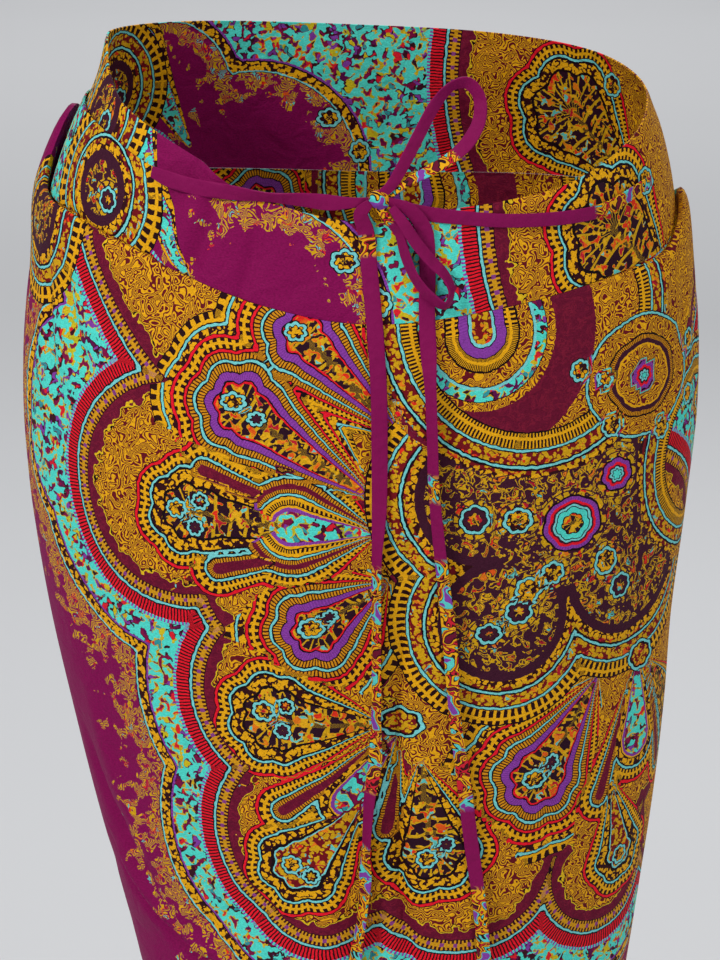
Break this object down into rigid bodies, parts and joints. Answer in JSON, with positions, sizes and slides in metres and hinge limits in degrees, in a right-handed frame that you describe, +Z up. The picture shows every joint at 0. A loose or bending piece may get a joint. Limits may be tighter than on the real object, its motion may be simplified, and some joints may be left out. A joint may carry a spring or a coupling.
{
  "type": "wrap midi skirt",
  "caption": "Slim wrapped midi skirt in hollow worn form, with a shaped hip yoke and narrow fabric ties knotted in a bow at the front.",
  "frame": {"origin": "middle of the waist opening, between the two side tops of the yoke", "axes": "+Z up along the body, the front of the skirt faces -Y, the wearer's left is +X"},
  "size_m": [0.3575, 0.2646, 0.7573],
  "materials": {
    "printed_cloth": "matte printed crepe",
    "tie_cloth": "matte crepe"
  },
  "bodies": {
    "root": {"yoke_outer_front": "printed_cloth", "yoke_inner_front": "printed_cloth", "yoke_back": "printed_cloth", "skirt_outer_front": "printed_cloth", "skirt_inner_front": "printed_cloth", "skirt_back": "printed_cloth", "tie_left": "tie_cloth", "tie_right": "tie_cloth", "bow_loop_upper": "tie_cloth", "bow_loop_lower": "tie_cloth", "tail_left": "tie_cloth", "tail_right": "tie_cloth", "bow_knot": "tie_cloth"}
  },
  "joints": []
}
